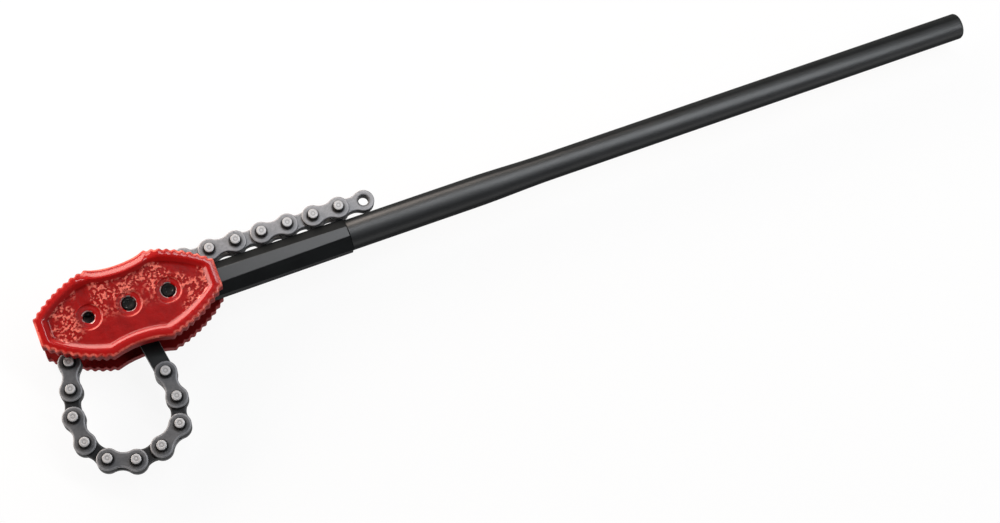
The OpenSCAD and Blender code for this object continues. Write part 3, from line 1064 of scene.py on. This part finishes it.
class TONGS_OT_pins(bpy.types.Operator):
    """Turns one pair of chain pins and copies it along the chain"""

    bl_idname = "tongs.pins"
    bl_label = "Chain pins"
    sides = 48

    def execute(self, context):
        size = context.scene.tongs_chain
        steel = pin_steel(size.bright)
        pattern = self.pin_pair(size)
        for k in range(1, LINK_COUNT + 1, 2):
            i = (k + 1) // 2
            name = f"pin_pair_{i:02d}"
            pair = twin(pattern, name)
            set_in_place(pair, PIN_AT[k - 1], (0, 0, link_turn(k)))
            settle(pair, name, f"link_{k:02d}", f"link_pins_{i:02d}", steel)
        bpy.data.objects.remove(pattern)
        return {"FINISHED"}

    def pin_pair(self, size):
        """Two pins one pitch apart, with chamfered ends and a turned ring on each."""
        end = PIN_HALF
        half_profile = [
            (size.pin, end - size.pin_chamfer),
            (size.pin - size.pin_chamfer * 0.35, end - size.pin_chamfer * 0.3),
            (size.pin - size.pin_chamfer, end),
            (size.pin * 0.52, end),
            (size.pin * 0.42, end - size.pin_mark),
            (size.pin * 0.32, end - size.pin_mark),
            (size.pin * 0.2, end - size.pin_mark * 0.2),
        ]
        rings = [(radius, -height) for radius, height in reversed(half_profile)] + half_profile
        pin = turned("pin", rings, self.sides)
        smooth(pin, 38)
        # The turned ring on each end is marked to be coloured darker
        ring_inside, ring_outside = 0.3 * size.pin, 0.47 * size.pin
        reach = [vertex.co.xy.length for vertex in pin.data.vertices]
        keep_wear_and_light(pin, [-1.0 if ring_inside < radius < ring_outside else 0.0 for radius in reach])
        second = twin(pin, "pin_second")
        set_in_place(second, (LINK_PITCH, 0, 0))
        return joined([pin, second])


def standing(place, right, up, back):
    """The placing of a lamp or camera from its own three directions."""
    return Matrix.Translation(place) @ Matrix((right, up, back)).transposed().to_4x4()


class TONGS_OT_stage(bpy.types.Operator):
    """Sets the pale floor, the studio light and the camera"""

    bl_idname = "tongs.stage"
    bl_label = "Stage"
    # How far the floor lies below the rear jaw, and the share of it that shows as plain white
    floor_gap = 0.3 * MM
    floor_white = 0.91

    def execute(self, context):
        size = context.scene.tongs_stage
        context.scene.view_settings.view_transform = "Standard"
        self.floor(size)
        self.room(context.scene, size)
        self.softbox(
            "overhead_strip", size.overhead, place=(1.36, -0.15, 2.0), target=(1.16, -0.15, 0),
            long_side=(0.61, -0.79, 0), sides=(3.3, 0.42), tint=(0.93, 0.96, 1),
        )
        self.softbox(
            "standing_softbox", size.upper_left, place=(-0.85, 1.55, 0.66), target=(0.1, 0, 0.2),
            long_side=(0.74, 0.67, 0), sides=(5.0, 1.3), tint=(1, 0.88, 0.79),
        )
        self.camera(context.scene, size)
        return {"FINISHED"}

    def floor(self, size):
        """A pale floor, white to the eye and in reflections, that keeps a soft shadow."""
        bpy.ops.object.select_all(action="DESELECT")
        bpy.ops.mesh.primitive_plane_add(size=size.floor, location=(0, 0, -self.floor_gap))
        floor = bpy.context.active_object
        floor.name = "floor"
        pale = new_finish("pale_floor")
        ray = pale.node("ShaderNodeLightPath", output="Is Camera Ray")
        seen = ray.greater(ray.other("Is Glossy Ray")).greater(ray.other("Is Transmission Ray"))
        matte = pale.node("ShaderNodeBsdfDiffuse", None, {"Color": (0.9, 0.9, 0.9, 1)})
        white = pale.node("ShaderNodeEmission", None, {"Color": (1, 1, 1, 1), "Strength": 1.0})
        floor.data.materials.append(pale.done(pale.blend(seen * self.floor_white, matte, white)))

    def room(self, scene, size):
        """Room light that is paler low down on the softbox's side."""
        scene.world = bpy.data.worlds.new("room")
        room = Finish(scene.world)
        x, y, rise = room.axes(room.node("ShaderNodeTexCoord", output="Generated"))
        low = room.mix((y * 0.8 - x * 0.6).step(-0.3, 0.9), (0.45, 0.45, 0.455, 1), (0.5, 0.5, 0.51, 1))
        shade = room.mix(rise.step(0.0, 0.7), low, (0.06, 0.06, 0.062, 1))
        light = room.node("ShaderNodeBackground", None, {"Color": shade, "Strength": size.fill})
        room.node("ShaderNodeOutputWorld", None, {"Surface": light})

    def softbox(self, name, watts, place, target, long_side, sides, tint):
        """A rectangular lamp that faces a point, both given from the centre bolt."""
        bpy.ops.object.select_all(action="DESELECT")
        bpy.ops.object.light_add(type="AREA", location=CENTRE + Vector(place))
        lamp = bpy.context.active_object
        lamp.name = name
        lamp.data.shape = "RECTANGLE"
        lamp.data.size, lamp.data.size_y = sides
        lamp.data.energy = watts
        lamp.data.color = tint
        lamp.visible_camera = False
        back = (Vector(place) - Vector(target)).normalized()
        up = back.cross(Vector(long_side)).normalized()
        lamp.matrix_world = standing(lamp.location, up.cross(back), up, back)

    def camera(self, scene, size):
        """The photograph's view, fitted to its pins, holes and edges."""
        eye = CENTRE + Vector((-0.0313, -0.4475, 1.6942))
        forward = Vector((0.2093, 0.2112, -0.9548)).normalized()
        right = forward.cross(Vector((0.3261, 0.9054, 0.2718))).normalized()
        up = right.cross(forward)
        bpy.ops.object.camera_add()
        camera = bpy.context.active_object
        camera.matrix_world = standing(eye, right, up, -forward)
        camera.data.sensor_width = 36
        camera.data.lens = size.lens
        scene.camera = camera


OPERATORS = (
    TONGS_OT_stage,
    TONGS_OT_jaws,
    TONGS_OT_shank,
    TONGS_OT_bar,
    TONGS_OT_bolts,
    TONGS_OT_anchor,
    TONGS_OT_plates,
    TONGS_OT_pins,
)


class TONGS_PT_pieces(bpy.types.Panel):
    """Lists the pieces and the stage"""

    bl_idname = "TONGS_PT_pieces"
    bl_label = "Chain Tongs"
    bl_space_type = "VIEW_3D"
    bl_region_type = "UI"
    bl_category = "Chain Tongs"

    def draw(self, context):
        for operator in OPERATORS:
            self.layout.operator(operator.bl_idname)


def register():
    for group in SETTING_GROUPS.values():
        bpy.utils.register_class(group)
    for name, group in SETTING_GROUPS.items():
        setattr(bpy.types.Scene, name, PointerProperty(type=group))
    for operator in OPERATORS:
        bpy.utils.register_class(operator)
    bpy.utils.register_class(TONGS_PT_pieces)


def unregister():
    bpy.utils.unregister_class(TONGS_PT_pieces)
    for operator in reversed(OPERATORS):
        bpy.utils.unregister_class(operator)
    for name, group in SETTING_GROUPS.items():
        delattr(bpy.types.Scene, name)
        bpy.utils.unregister_class(group)


def main():
    register()
    bpy.ops.tongs.stage()
    bpy.ops.tongs.jaws()
    bpy.ops.tongs.shank()
    bpy.ops.tongs.bar()
    bpy.ops.tongs.bolts()
    bpy.ops.tongs.anchor()
    bpy.ops.tongs.plates()
    bpy.ops.tongs.pins()


if __name__ == "__main__":
    main()
